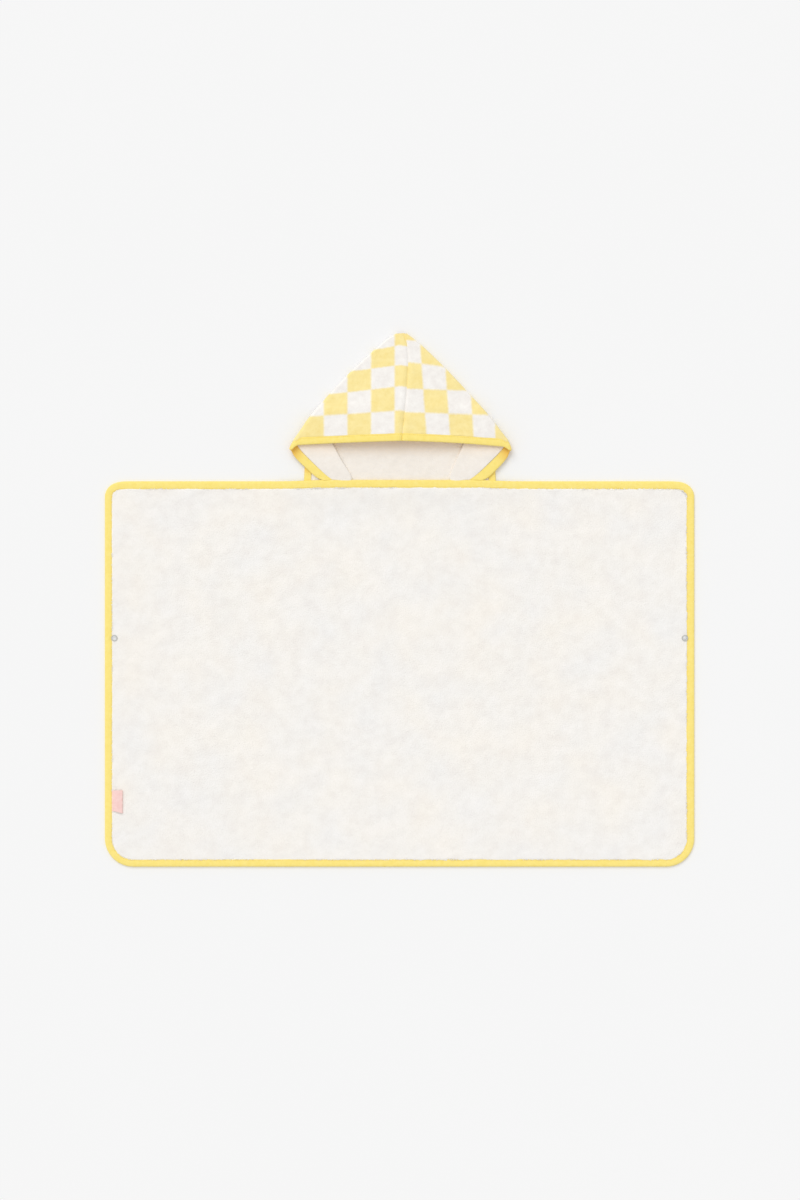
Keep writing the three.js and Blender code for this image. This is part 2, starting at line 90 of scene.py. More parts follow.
BROW_ARCH = {"left": 0.6, "right": 1.6}
SIDE_BOW = {"left": 4.2, "right": 4.6}
CORNER_DROP = 1.2
STRIP_X = {"left": 162.3, "right": 163.4}
TOP_STEP = 197
TAPE_STEP = 12.6

CHECK = 40 * MM
# levels at which the checks' rows change on each half, and how steeply the rows fall outwards
CHECK_ROWS = {
    "row": [-2, -1, 0, 1, 2, 3, 4],
    "left": [38, 78, 119, 160.5, 196.5, 230.5, 268],
    "right": [36, 76, 116.5, 156.5, 203, 239.5, 280],
    "v": [70, 115, 155, 190, 230],
    "left_slope": [0.07, 0.065, 0.12, 0.125, 0.2],
    "right_slope": [0.07, 0.03, 0.03, 0.13, 0.06],
}

# the outermost column is wider on the left half and starts sooner on the right one
OUTER_SHIFT = {"left": 13, "right": 5}

SNAP_INSET = 16.2 * MM
SNAP_DROP = 266 * MM

SIDE = {"left": -1.0, "right": 1.0}


# ---------- helpers on arrays ----------
def smooth(x, low, high):
    """0 below low, 1 above high and 3t^2 - 2t^3 between them."""
    t = np.clip((np.asarray(x, float) - low) / (high - low), 0, 1)
    return t * t * (3 - 2 * t)


def mix(a, b, t):
    """a at t = 0, b at t = 1, straight between."""
    return a + (b - a) * t


def read(table, column, v, key="v"):
    """Reads a column at v: a cubic through the rows, whose slope at a row is the mean of its neighbours'."""
    x = np.asarray(table[key], float)
    y = np.asarray(table[column], float)
    v = np.clip(v, x[0], x[-1])
    k = np.clip(np.searchsorted(x, v, side="right") - 1, 0, len(x) - 2)
    slopes = np.diff(y) / np.diff(x)
    at = np.concatenate([[slopes[0]], (slopes[1:] + slopes[:-1]) / 2, [slopes[-1]]])
    h = x[k + 1] - x[k]
    t = (v - x[k]) / h
    return (
        y[k] * (1 + 2 * t) * (1 - t) ** 2
        + h * at[k] * t * (1 - t) ** 2
        + y[k + 1] * t * t * (3 - 2 * t)
        + h * at[k + 1] * t * t * (t - 1)
    )


def rolling(x, y, size, seed):
    """Soft random hills of about the given size, from -1 to 1: a seeded lattice of heights, blended smoothly."""
    lattice = np.random.default_rng(seed).uniform(-1, 1, (64, 64))
    gx, gy = x / size + 1000, y / size + 1000
    ix, iy = np.floor(gx).astype(int), np.floor(gy).astype(int)
    tx, ty = smooth(gx - ix, 0, 1), smooth(gy - iy, 0, 1)
    at = lambda i, j: lattice[i % 64, j % 64]
    lower = mix(at(ix, iy), at(ix + 1, iy), tx)
    upper = mix(at(ix, iy + 1), at(ix + 1, iy + 1), tx)
    return mix(lower, upper, ty)


def unit(vectors):
    """The vectors at length 1."""
    return vectors / np.maximum(np.linalg.norm(vectors, axis=-1, keepdims=True), 1e-12)


# ---------- meshes ----------
def make_mesh(name, points, faces, materials, face_material=None, uv=None, painted_shade=None, lap=None):
    """A smooth mesh object from points (n, 3) and faces (m, 4), with a UV and an amount of painted shade for each
    point.

    Where a piece runs once round, lap is the UV's length round it, added past the joint to keep it unbroken."""
    mesh = bpy.data.meshes.new(name)
    corners = faces.shape[1]
    mesh.vertices.add(len(points))
    mesh.vertices.foreach_set("co", np.asarray(points, np.float32).ravel())
    mesh.loops.add(faces.size)
    mesh.loops.foreach_set("vertex_index", faces.astype(np.int32).ravel())
    mesh.polygons.add(len(faces))
    mesh.polygons.foreach_set("loop_start", np.arange(0, faces.size, corners, dtype=np.int32))
    mesh.polygons.foreach_set("loop_total", np.full(len(faces), corners, np.int32))
    mesh.update(calc_edges=True)
    for material in materials:
        mesh.materials.append(material)
    if face_material is not None:
        mesh.polygons.foreach_set("material_index", face_material.astype(np.int32))
    if uv is not None:
        at_corners = np.asarray(uv, float)[faces]
        if lap is not None:
            u = at_corners[..., 0]
            at_corners[..., 0] = u + lap * (u.max(axis=1, keepdims=True) - u > lap / 2)
        layer = mesh.uv_layers.new(name="cloth")
        layer.data.foreach_set("uv", at_corners.astype(np.float32).ravel())
    # painted shade: stored as a point attribute for the tape material
    if painted_shade is not None:
        mesh.attributes.new("painted_shade", "FLOAT", "POINT").data.foreach_set("value", np.asarray(painted_shade, np.float32))
    mesh.polygons.foreach_set("use_smooth", np.ones(len(faces), bool))
    mesh.validate()
    mesh.update()
    mesh.set_sharp_from_angle(angle=np.radians(62))
    piece = bpy.data.objects.new(name, mesh)
    bpy.context.collection.objects.link(piece)
    return piece


def outward(points, faces):
    """The faces turned round if together they enclose a negative volume."""
    a, b, c, d = (points[faces[:, k]] for k in range(4))
    volume = np.sum(a * (np.cross(b, c) + np.cross(c, d)))
    return faces if volume > 0 else faces[:, ::-1]


def wall(name, upper, lower, materials, uv=None, lap=None, painted_shade=None):
    """A closed wall of cloth between two grids of points (rows, columns, 3).

    Materials are for the upper face and, where there is a second one, for the lower face and the rim.
    With lap, the length once round, the first and last row meet and only the columns' two ends are closed."""
    ring = lap is not None
    rows, columns = upper.shape[:2]
    ids = np.arange(rows * columns).reshape(rows, columns)
    loop = np.vstack([ids, ids[:1]]) if ring else ids
    top = np.stack([loop[:-1, :-1], loop[:-1, 1:], loop[1:, 1:], loop[1:, :-1]], -1).reshape(-1, 4)
    bottom = top[:, ::-1] + rows * columns
    if ring:
        pairs = [(loop[:-1, -1], loop[1:, -1]), (loop[1:, 0], loop[:-1, 0])]
        p = np.concatenate([a for a, _ in pairs])
        q = np.concatenate([b for _, b in pairs])
    else:
        rim = np.concatenate([ids[0, :-1], ids[:-1, -1], ids[-1, :0:-1], ids[:0:-1, 0]])
        p, q = rim, np.roll(rim, -1)
    under = rows * columns
    sides = np.stack([q, p, p + under, q + under], -1)
    points = np.concatenate([upper.reshape(-1, 3), lower.reshape(-1, 3)])
    faces = outward(points, np.concatenate([top, bottom, sides]))
    kinds = np.zeros(len(faces))
    if len(materials) > 1:
        kinds[len(top):] = 1
    both = None if uv is None else np.concatenate([uv.reshape(-1, 2)] * 2)
    shade = None if painted_shade is None else np.concatenate([painted_shade.ravel()] * 2)
    return make_mesh(name, points, faces, materials, kinds, both, shade, lap)


def wall_area(points):
    """Area of a grid of points: half the cross product of each cell's diagonals."""
    one = points[1:, 1:] - points[:-1, :-1]
    two = points[1:, :-1] - points[:-1, 1:]
    return float(np.linalg.norm(np.cross(one, two), axis=-1).sum() / 2)


# ---------- materials ----------
class Nodes:
    """A material's node tree, with short calls for what the cloth needs."""

    def __init__(self, name, rough, sheen=0.0, metallic=0.0):
        self.material = bpy.data.materials.new(name)
        self.material.use_nodes = True
        self.tree = self.material.node_tree
        self.shader = self.tree.nodes["Principled BSDF"]
        self.shader.inputs["Roughness"].default_value = rough
        self.shader.inputs["Metallic"].default_value = metallic
        self.shader.inputs["Sheen Weight"].default_value = sheen
        self.shader.inputs["Sheen Roughness"].default_value = 0.6
        self.shader.inputs["Specular IOR Level"].default_value = 0.2

    def add(self, kind, **values):
        node = self.tree.nodes.new(kind)
        for key, value in values.items():
            if hasattr(node, key):
                setattr(node, key, value)
            else:
                node.inputs[key.replace("_", " ")].default_value = value
        return node

    def link(self, source, target):
        self.tree.links.new(source, target)

    def place(self, output="Object", scale=(1, 1, 1), turn=(0, 0, 0)):
        where = self.add("ShaderNodeTexCoord")
        mapping = self.add("ShaderNodeMapping")
        mapping.inputs["Scale"].default_value = scale
        mapping.inputs["Rotation"].default_value = turn
        self.link(where.outputs[output], mapping.inputs["Vector"])
        return mapping.outputs["Vector"]

    def noise(self, size, where, detail=2.0, rough=0.5):
        node = self.add("ShaderNodeTexNoise", Scale=1 / size, Detail=detail, Roughness=rough)
        self.link(where, node.inputs["Vector"])
        return node.outputs["Fac"]

    def ramp(self, value, stops):
        node = self.add("ShaderNodeValToRGB")
        ramp = node.color_ramp
        while len(ramp.elements) < len(stops):
            ramp.elements.new(0.5)
        for element, (at, colour) in zip(ramp.elements, stops):
            element.position = at
            element.color = (*colour, 1)
        self.link(value, node.inputs["Fac"])
        return node.outputs["Color"]

    def math(self, operation, a, b=0.0):
        node = self.add("ShaderNodeMath", operation=operation)
        for socket, value in zip(node.inputs, (a, b)):
            if isinstance(value, (int, float)):
                socket.default_value = value
            else:
                self.link(value, socket)
        return node.outputs["Value"]

    def blend(self, factor, a, b, mode="MIX"):
        node = self.add("ShaderNodeMix", data_type="RGBA", blend_type=mode)
        for socket, value in zip((node.inputs[0], node.inputs[6], node.inputs[7]), (factor, a, b)):
            if isinstance(value, (int, float)):
                socket.default_value = value
            elif isinstance(value, tuple):
                socket.default_value = (*value, 1)
            else:
                self.link(value, socket)
        return node.outputs[2]

    def bump(self, *layers):
        """Adds bumps on bumps: (height, depth in metres) each."""
        normal = None
        for height, depth in layers:
            node = self.add("ShaderNodeBump", Strength=1.0, Distance=depth)
            self.link(height, node.inputs["Height"])
            if normal is not None:
                self.link(normal, node.inputs["Normal"])
            normal = node.outputs["Normal"]
        self.link(normal, self.shader.inputs["Normal"])

    def colour(self, value):
        if isinstance(value, tuple):
            self.shader.inputs["Base Color"].default_value = (*value, 1)
        else:
            self.link(value, self.shader.inputs["Base Color"])


def srgb(red, green, blue):
    """A colour given in 0-255 screen values, as linear light."""
    c = np.array([red, green, blue]) / 255
    return tuple(np.where(c <= 0.04045, c / 12.92, ((c + 0.055) / 1.055) ** 2.4).tolist())


def loops_bump(nodes, where, depth):
    """Heights of terry loops: small cells in broken clumps."""
    cells = nodes.add("ShaderNodeTexVoronoi", Scale=1 / (1.7 * MM), Randomness=1.0)
    nodes.link(where, cells.inputs["Vector"])
    clumps = nodes.noise(9 * MM, where, 3)
    fine = nodes.noise(0.9 * MM, where, 2)
    nodes.bump((clumps, 2.2 * depth), (cells.outputs["Distance"], -depth), (fine, 0.6 * depth))


def terry_material():
    """White plush terry: cream-white loops, mottled where the pile leans."""
    nodes = Nodes("plush_terry_white", 0.95, sheen=0.25)
    where = nodes.place()
    lean = nodes.noise(19 * MM, where, 4, 0.6)
    patch = nodes.noise(95 * MM, where, 2)
    tint = nodes.ramp(lean, [(0.3, srgb(246, 242, 238)), (0.52, srgb(250, 247, 243)), (0.75, srgb(253, 250, 247))])
    warm = nodes.ramp(patch, [(0.3, srgb(251, 252, 253)), (0.7, srgb(255, 253, 249))])
    nodes.colour(nodes.blend(1.0, tint, warm, "MULTIPLY"))
    loops_bump(nodes, where, 0.35 * MM)
    return nodes.material


def inner_material():
    """The hood's inside: the same terry with a painted warm shade over it, and a deeper painted warm shade where it
    lies under the brow.
    """
    nodes = Nodes("plush_terry_hood_inside", 0.95, sheen=0.2)
    where = nodes.place()
    lean = nodes.noise(13 * MM, where, 4, 0.62)
    # painted shade: these tones are a little darker and warmer than the body's terry, for the light bounced inside the
    # hood
    tint = nodes.ramp(lean, [(0.3, srgb(243, 236, 227)), (0.52, srgb(247, 240, 231)), (0.75, srgb(250, 244, 236))])
    split = nodes.add("ShaderNodeSeparateXYZ")
    nodes.link(where, split.inputs[0])
    # painted shade: a warm tint that grows towards the brow, where the inside lies in the brow's shadow
    depth = nodes.add("ShaderNodeMapRange", interpolation_type="SMOOTHSTEP")
    depth.inputs["From Min"].default_value = NECK_Y + 36 * MM
    depth.inputs["From Max"].default_value = NECK_Y + 72 * MM
    nodes.link(split.outputs["Y"], depth.inputs["Value"])
    nodes.colour(nodes.blend(depth.outputs["Result"], tint, srgb(253, 234, 214)))
    loops_bump(nodes, where, 0.3 * MM)
    return nodes.material


def check_material():
    """Woven checks of pale yellow and white in short-looped terry, read from the cloth's own UV in checks.

    The edges between checks waver by about a loop, and each check shades a little over its face."""
    nodes = Nodes("terry_yellow_white_check", 0.93, sheen=0.05)
    cloth = nodes.place("UV")
    where = nodes.place()
    split = nodes.add("ShaderNodeSeparateXYZ")
    nodes.link(cloth, split.inputs[0])
    bands = []
    for axis, size in (("X", 2.6 * MM), ("Y", 3.1 * MM)):
        waver = nodes.math("MULTIPLY", nodes.math("SUBTRACT", nodes.noise(size, where, 2), 0.5), 0.07)
        turned = nodes.math("MULTIPLY", nodes.math("ADD", split.outputs[axis], waver), float(np.pi))
        # +1 over one check and -1 over the next, with a step between them about two loops wide
        steep = nodes.math("MULTIPLY", nodes.math("SINE", turned), 7.0)
        bands.append(nodes.math("MAXIMUM", nodes.math("MINIMUM", steep, 1.0), -1.0))
    product = nodes.math("MULTIPLY", *bands)
    yellow = nodes.math("ADD", nodes.math("MULTIPLY", product, 0.5), 0.5)
    lean = nodes.noise(11 * MM, where, 3, 0.6)
    white = nodes.ramp(lean, [(0.3, srgb(241, 236, 231)), (0.7, srgb(250, 247, 242))])
    gold = nodes.ramp(lean, [(0.3, srgb(248, 226, 150)), (0.7, srgb(254, 236, 168))])
    nodes.colour(nodes.blend(yellow, white, gold))
    loops_bump(nodes, where, 0.2 * MM)
    return nodes.material


def tape_material():
    """Plain woven cotton tape: a fine weave on the UV, with a painted shade deepening the yellow where the tape turns
    under or lies in shadow.
    """
    nodes = Nodes("bias_tape_yellow", 0.8, sheen=0.12)
    where = nodes.place()
    shade = nodes.noise(6 * MM, where, 3)
    tone = nodes.ramp(shade, [(0.25, srgb(251, 227, 122)), (0.6, srgb(254, 232, 134)), (0.85, srgb(255, 236, 144))])
    # painted shade: a point attribute blends the tone towards deep orange where the tape lies in shadow
    painted_shade = nodes.add("ShaderNodeAttribute", attribute_name="painted_shade")
    nodes.colour(nodes.blend(painted_shade.outputs["Fac"], tone, srgb(241, 184, 74)))
    weave = nodes.place("UV")
    heights = []
    for direction in ("X", "Y"):
        thread = nodes.add("ShaderNodeTexWave", bands_direction=direction, Scale=1 / (0.55 * MM) / 20)
        nodes.link(weave, thread.inputs["Vector"])
        heights.append(thread.outputs["Fac"])
    nodes.bump((shade, 0.5 * MM), (nodes.math("MULTIPLY", *heights), 0.09 * MM))
    return nodes.material


def thread_material():
    """Sewing thread, twisted."""
    nodes = Nodes("sewing_thread_yellow", 0.55, sheen=0.1)
    where = nodes.place()
    twist = nodes.noise(0.5 * MM, where, 1)
    nodes.colour(nodes.ramp(twist, [(0.3, srgb(240, 208, 96)), (0.7, srgb(253, 228, 124))]))
    nodes.bump((twist, 0.05 * MM))
    return nodes.material


def ribbon_material():
    """Soft pale pink ribbon with a fine rib across."""
    nodes = Nodes("ribbon_pale_pink", 0.7, sheen=0.2)
    where = nodes.place()
    shade = nodes.noise(7 * MM, where, 2)
    nodes.colour(nodes.ramp(shade, [(0.3, srgb(245, 203, 196)), (0.7, srgb(252, 217, 211))]))
    rib = nodes.add("ShaderNodeTexWave", bands_direction="Y", Scale=1 / (0.7 * MM) / 20)
    nodes.link(where, rib.inputs["Vector"])
    nodes.bump((rib.outputs["Fac"], 0.06 * MM))
    return nodes.material


def metal_material(name, light):
    """Satin grey enamel on a pressed ring, or the paler middle of a snap."""
    nodes = Nodes(name, 0.45 if light else 0.4, metallic=0.1 if light else 0.2)
    where = nodes.place()
    wear = nodes.noise(1.6 * MM, where, 3)
    tone = (srgb(214, 214, 213), srgb(232, 233, 234)) if light else (srgb(186, 186, 183), srgb(208, 208, 203))
    nodes.colour(nodes.ramp(wear, [(0.3, tone[0]), (0.7, tone[1])]))
    nodes.bump((wear, 0.04 * MM))
    return nodes.material


TERRY = terry_material()
INNER = inner_material()
CHECKED = check_material()
TAPE = tape_material()
THREAD = thread_material()
RIBBON = ribbon_material()
RING = metal_material("snap_grey", False)
PEARL = metal_material("snap_middle", True)


# ---------- body ----------
def lift(x, y):
    """How far the body is raised: LIFT over the hood's seam allowance, fading to 0 beside and below it."""
    across = 1 - smooth(np.abs(x), 165 * MM, 240 * MM)
    down = 1 - smooth(NECK_Y - y, 14 * MM, 60 * MM)
    return LIFT * across * down


def bulge(x):
    """How far the body's upper edge is pushed up by the hood's neck seam, or droops before its corners."""
    return NECK_BULGE * (1 - smooth(np.abs(x), 120 * MM, 200 * MM)) - CORNER_DROOP * smooth(np.abs(x), 460 * MM, 484 * MM)


def tape_width(nx, ny):
    """Width of the tape's leg where the edge faces along (nx, ny): each side's own, turned smoothly at corners."""
    side = np.where(nx > 0, TAPE_WIDTH["right"], TAPE_WIDTH["left"])
    end = np.where(ny > 0, TAPE_WIDTH["top"], TAPE_WIDTH["bottom"])
    return (side * nx * nx + end * ny * ny) * MM


def edge_distance(x, y):
    """(distance inside the body's rounded outline, outward direction of its nearest edge)."""
    upper = y > (HEM_Y + NECK_Y) / 2
    radius = np.where(upper, CORNER_TOP, CORNER_BOTTOM)
    top = NECK_Y + bulge(x)
    dx = np.abs(x) - (HALF_WIDTH - radius)
    dy = np.where(upper, y - (top - radius), (HEM_Y + radius) - y)
    corner = (dx > 0) & (dy > 0)
    outside = np.where(corner, np.hypot(dx, dy), np.maximum(dx, dy))
    nx = np.where(corner, dx, (dx > dy).astype(float)) * np.sign(x)
    ny = np.where(corner, dy, (dx <= dy).astype(float)) * np.where(upper, 1, -1)
    length = np.maximum(np.hypot(nx, ny), 1e-9)
    return radius - outside, nx / length, ny / length


def body_cloth():
    """The plush panel: columns of points between the lower and upper edge, packed closer near the edges.

    Upper height = tape tongue inside the tape, pile outside it with a soft shoulder, plus hills of three
    sizes where the pile leans. The lower face is flat."""
    near = np.concatenate([np.arange(0, 9, 3.0), np.arange(9, 18.5, 0.95), [19.5, 21, 23, 26, 29.5]]) * MM
    inner_x = HALF_WIDTH - TONGUE_INSET - 34 * MM
    middle_x = np.linspace(-inner_x, inner_x, 196)
    left = -HALF_WIDTH + TONGUE_INSET + near
    xs = np.concatenate([left, middle_x, -left[::-1]])

    def corner(x, radius):
        into = np.minimum(HALF_WIDTH - TONGUE_INSET - np.abs(x), radius)
        return radius - np.sqrt(np.maximum(radius**2 - (radius - into) ** 2, 0))

    low = HEM_Y + TONGUE_INSET + corner(xs, CORNER_BOTTOM - TONGUE_INSET)
    high = NECK_Y + bulge(xs) - TONGUE_INSET - corner(xs, CORNER_TOP - TONGUE_INSET)
    share = np.linspace(0, 1, 124)[None, :]
    span = (high - low - 68 * MM)[:, None]
    ys = np.concatenate(
        [
            low[:, None] + near[None, :],
            low[:, None] + 34 * MM + span * share,
            high[:, None] - near[None, ::-1],
        ],
        axis=1,
    )
    x = np.repeat(xs[:, None], ys.shape[1], axis=1)
    inset, nx, ny = edge_distance(x, ys)
    width = tape_width(nx, ny)
    uneven = np.where(x > 0, 1.5, 0.8)
    ragged = uneven * MM * (0.9 * rolling(x, ys, 6 * MM, 3) + 0.5 * rolling(x, ys, 2.4 * MM, 4))
    shoulder = smooth(inset - width + ragged, -1.7 * MM, 1.0 * MM)
    hills = (
        0.55 * MM * rolling(x, ys, 120 * MM, 11)
        + 0.5 * MM * rolling(x, ys, 46 * MM, 12)
        + 0.42 * MM * rolling(x, ys, 17 * MM, 13)
        + 0.3 * MM * rolling(x, ys, 8.5 * MM, 14)
    )
    pucker = 0.35 * MM * rolling(x, ys, 9 * MM, 15) * (1 - smooth(inset - width, 3 * MM, 16 * MM))
    full = PILE + 0.5 * MM + hills + pucker
    raised = lift(x, ys)
    upper = np.stack([x, ys, mix(TONGUE[1], full, shoulder) + raised], -1)
    thin = 1 - smooth(inset - width, 0.3 * MM, 1.5 * MM)
    lower = np.stack([x, ys, mix(0.05 * MM, TONGUE[0], thin) + raised], -1)
    uv = np.stack([x / CHECK, (ys - NECK_Y) / CHECK], -1)
    return wall("body_cloth", upper, lower, [TERRY, CHECKED], uv)


def body_outline(step):
    """The outside of the body's tape once round, anticlockwise, ending where it began.

    Returns points, outward directions and distance run."""
    radii = [CORNER_BOTTOM, CORNER_BOTTOM, CORNER_TOP, CORNER_TOP]
    centres = [
        (-HALF_WIDTH + CORNER_BOTTOM, HEM_Y + CORNER_BOTTOM),
        (HALF_WIDTH - CORNER_BOTTOM, HEM_Y + CORNER_BOTTOM),
        (HALF_WIDTH - CORNER_TOP, NECK_Y - CORNER_TOP),
        (-HALF_WIDTH + CORNER_TOP, NECK_Y - CORNER_TOP),
    ]
    points, normals = [], []
    for k in range(4):
        turn = np.radians(180 + 90 * k) + np.radians(np.linspace(0, 90, 25))
        ring = np.stack([np.cos(turn), np.sin(turn)], -1)
        arc = np.array(centres[k]) + radii[k] * ring
        points.append(arc)
        normals.append(ring)
        after = (k + 1) % 4
        start = np.array(centres[after]) + radii[after] * ring[-1]
        count = int(np.linalg.norm(start - arc[-1]) / step)
        run = np.linspace(0, 1, count + 1)[1:-1, None]
        points.append(arc[-1] + (start - arc[-1]) * run)
        normals.append(np.repeat(ring[-1:], len(run), axis=0))
    points, normals = np.concatenate(points), np.concatenate(normals)
    points[:, 1] += bulge(points[:, 0]) * np.clip(normals[:, 1], 0, 1) ** 2
    points, normals = np.vstack([points, points[:1]]), np.vstack([normals, normals[:1]])
    run = np.concatenate([[0], np.cumsum(np.linalg.norm(np.diff(points, axis=0), axis=1))])
    return points, normals, run


# The tape's section: shares of the width from the outside, and heights as shares of the half height,
# from the upper leg's end over the edge to the lower leg's end.
TAPE_OUTER = np.array(
    [[1, 0.72], [0.97, 0.88], [0.86, 0.9], [0.78, 0.97], [0.6, 1.04], [0.4, 1.06], [0.22, 1.0],
     [0.11, 0.86], [0.035, 0.55], [0, 0.1], [0.02, -0.45], [0.07, -0.8], [0.15, -0.97], [0.3, -1],
     [0.6, -1], [0.85, -1], [1, -1]]
)
TAPE_INNER = np.array(
    [[1, 0.5], [0.97, 0.5], [0.86, 0.5], [0.78, 0.5], [0.6, 0.52], [0.4, 0.52], [0.24, 0.52],
     [0.17, 0.46], [0.12, 0.3], [0.105, 0.0], [0.12, -0.3], [0.14, -0.46], [0.2, -0.55], [0.3, -0.6],
     [0.6, -0.6], [0.85, -0.6], [1, -0.6]]
)


def body_tape():
    """The tape round the body as one ring: its section carried along the outline, leg width by side.

    Small puckers raise and narrow the upper leg unevenly between the stitches."""
    points, normals, distance = body_outline(3.2 * MM)
    points, normals, run = points[:-1], normals[:-1], distance[:-1]
    width = tape_width(normals[:, 0], normals[:, 1])
    width = width + 0.45 * MM * rolling(run, 0 * run, 24 * MM, 21) + 0.2 * MM * rolling(run, 0 * run, 7 * MM, 22)
    half = TAPE_HEIGHT / 2

    def face(section, puckered):
        inset = section[None, :, 0] * width[:, None]
        x = points[:, None, 0] - normals[:, None, 0] * inset
        y = points[:, None, 1] - normals[:, None, 1] * inset
        z = half + half * section[None, :, 1] + lift(x, y)
        if puckered:
            on_top = smooth(section[None, :, 1], 0.3, 0.9) * smooth(section[None, :, 0], 0, 0.3)
            across = np.repeat(run[:, None], section.shape[0], axis=1)
            z = z + on_top * (0.22 * MM * rolling(across, inset, 9 * MM, 23) + 0.12 * MM * rolling(across, inset, 4 * MM, 24))
        return np.stack([x, y, z], -1)

    girth = np.cumsum(np.concatenate([[0], np.linalg.norm(np.diff(TAPE_OUTER * [12 * MM, half], axis=0), axis=1)]))
    uv = np.stack(np.broadcast_arrays(run[:, None], girth[None, :]), -1)
    return wall("body_tape", face(TAPE_OUTER, True), face(TAPE_INNER, False), [TAPE], uv, lap=distance[-1])


# ---------- hood ----------
def hood_section(name, step, front, fold, inward):
    """One row of the hood's cloth at a height step above its face edge, as arrays.

    Stations run from the centre seam over the front layer (shares 0-1 of the way to the side fold), round
    the fold (angles 0 to pi) and into the mouth (shares 0-1 of the way to the flap's crease).
    Returns the middle points, the outward directions, the half thickness and the distance along the row."""
    side = SIDE[name]
    share = step / TOP_STEP
    drop = BROW_DROP[name] * (1 - smooth(step, 14, 75)) + CORNER_DROP * (1 - smooth(step, 0, 11))
    brow_v = mix(BROW_V[name], 250, share)
    fold_v = brow_v - drop
    seam_v = mix(MOUTH_V, HOOD_RISE / MM - 3, share)
    at_fold = np.array([side * read(OUTLINE, name, fold_v), fold_v])
    at_seam = np.array([read(SEAM, "x", seam_v), seam_v])
    at_end = np.array([side * read(FLAP, name, fold_v), read(FLAP, "end", fold_v)])
    doubled = 1 - smooth(fold_v, 112, 145)
    radius = read(CROWN, "radius", fold_v)
    crown = read(CROWN, "z", seam_v)
    thin = 1 - smooth(step, 11.9, 12.9)

    def flap(v, rounding):
        low = smooth(v, 0, 25)
        half = mix(1.45, mix(2.0, 3.0, low), doubled) * rounding
        z = mix(1.5, 2.8 + half, doubled)
        return mix(z, mix(5.5, 5.8, low), thin), mix(half, 0.8, thin)

    base_z, base_half = flap(fold_v, 1.0)
    z_top = base_z + 2 * radius
    front_half = mix(1.5, 0.8, thin)
    to_seam = at_seam - at_fold
    to_end = at_end - at_fold
    reach, depth = np.linalg.norm(to_seam), np.linalg.norm(to_end)
    to_seam, to_end = to_seam / reach, to_end / depth

    along = mix(reach, radius, front)
    plan = at_fold + along[:, None] * to_seam
    # the brow runs almost level and turns down over its last part, and that fades up the hood
    arch = BROW_ARCH[name] * np.sin(np.pi * front) * np.exp(-step / 45)
    turned_down = np.clip((front - 0.94) / 0.06, 0, 1) ** 1.6
    plan[:, 1] += arch + drop * (front - turned_down)
    z = mix(crown, z_top, (1 - np.cos(np.pi * front)) / 2)
    from_seam = reach - along
    puff = 1.1 if side < 0 else 0.6
    z += puff * np.exp(-(((from_seam - 8) / 5.5) ** 2)) - 1.7 * np.exp(-((from_seam / 2.0) ** 2))
    front_points = np.column_stack([plan, z])
    front_normals = np.tile([0.0, 0.0, 1.0], (len(front), 1))

    share = fold / np.pi
    heading = unit(mix(to_seam[None, :], to_end[None, :], share[:, None]))
    plan = at_fold + heading * (radius * (1 - np.sin(fold)))[:, None]
    fold_points = np.column_stack([plan, base_z + radius * (1 + np.cos(fold))])
    fold_normals = np.column_stack([-heading * np.sin(fold)[:, None], np.cos(fold)])
    fold_half = mix(front_half, base_half, share)

    along_flap = mix(radius, depth, inward)
    plan = at_fold + along_flap[:, None] * to_end
    # the slanted stretch bows outwards between the corner and the neck, and that fades into the mouth
    bow = SIDE_BOW[name] * np.exp(-step / 60) * (1 - (1 - 2 * inward) ** 4) * (1 - smooth(fold_v, 75, 100))
    plan = plan + bow[:, None] * np.array([to_end[1], -to_end[0]]) * -side
    left_over = depth - along_flap
    roll = np.sqrt(np.clip(1 - (1 - np.clip(left_over / 4.5, 0, 1)) ** 2, 0.02, 1))
    z, flap_half = flap(plan[:, 1], roll)
    flap_points = np.column_stack([plan, z])
    flap_normals = np.tile([0.0, 0.0, -1.0], (len(inward), 1))

    points = np.concatenate([front_points, fold_points, flap_points])
    normals = np.concatenate([front_normals, fold_normals, flap_normals])
    half = np.concatenate([np.full(len(front), front_half), fold_half, flap_half])
    run = np.concatenate([from_seam, reach + radius * (fold - 1), reach + radius * 1.14 + along_flap])
    return points, normals, half, run


FRONT = np.concatenate([np.linspace(0, 0.16, 22), np.linspace(0.16, 1, 52)[1:-1]])
FOLD = np.linspace(0, np.pi, 17)
INWARD = np.concatenate([np.linspace(0, 0.86, 26)[1:], np.linspace(0.86, 1, 14)[1:]])
STEPS = np.concatenate([[0, 4, 8.5, 11.2, 11.9, 12.15, 12.4, 12.65, 12.9, 14, 16.5], np.linspace(20, TOP_STEP, 62)])


def hood_rows(name, steps):
    rows = [hood_section(name, step, FRONT, FOLD, INWARD) for step in steps]
    return tuple(np.stack(parts) for parts in zip(*rows))


def to_frame(points):
    """Millimetres with v from the neck seam, as metres in the frame."""
    return points * MM + np.array([0, NECK_Y, 0])


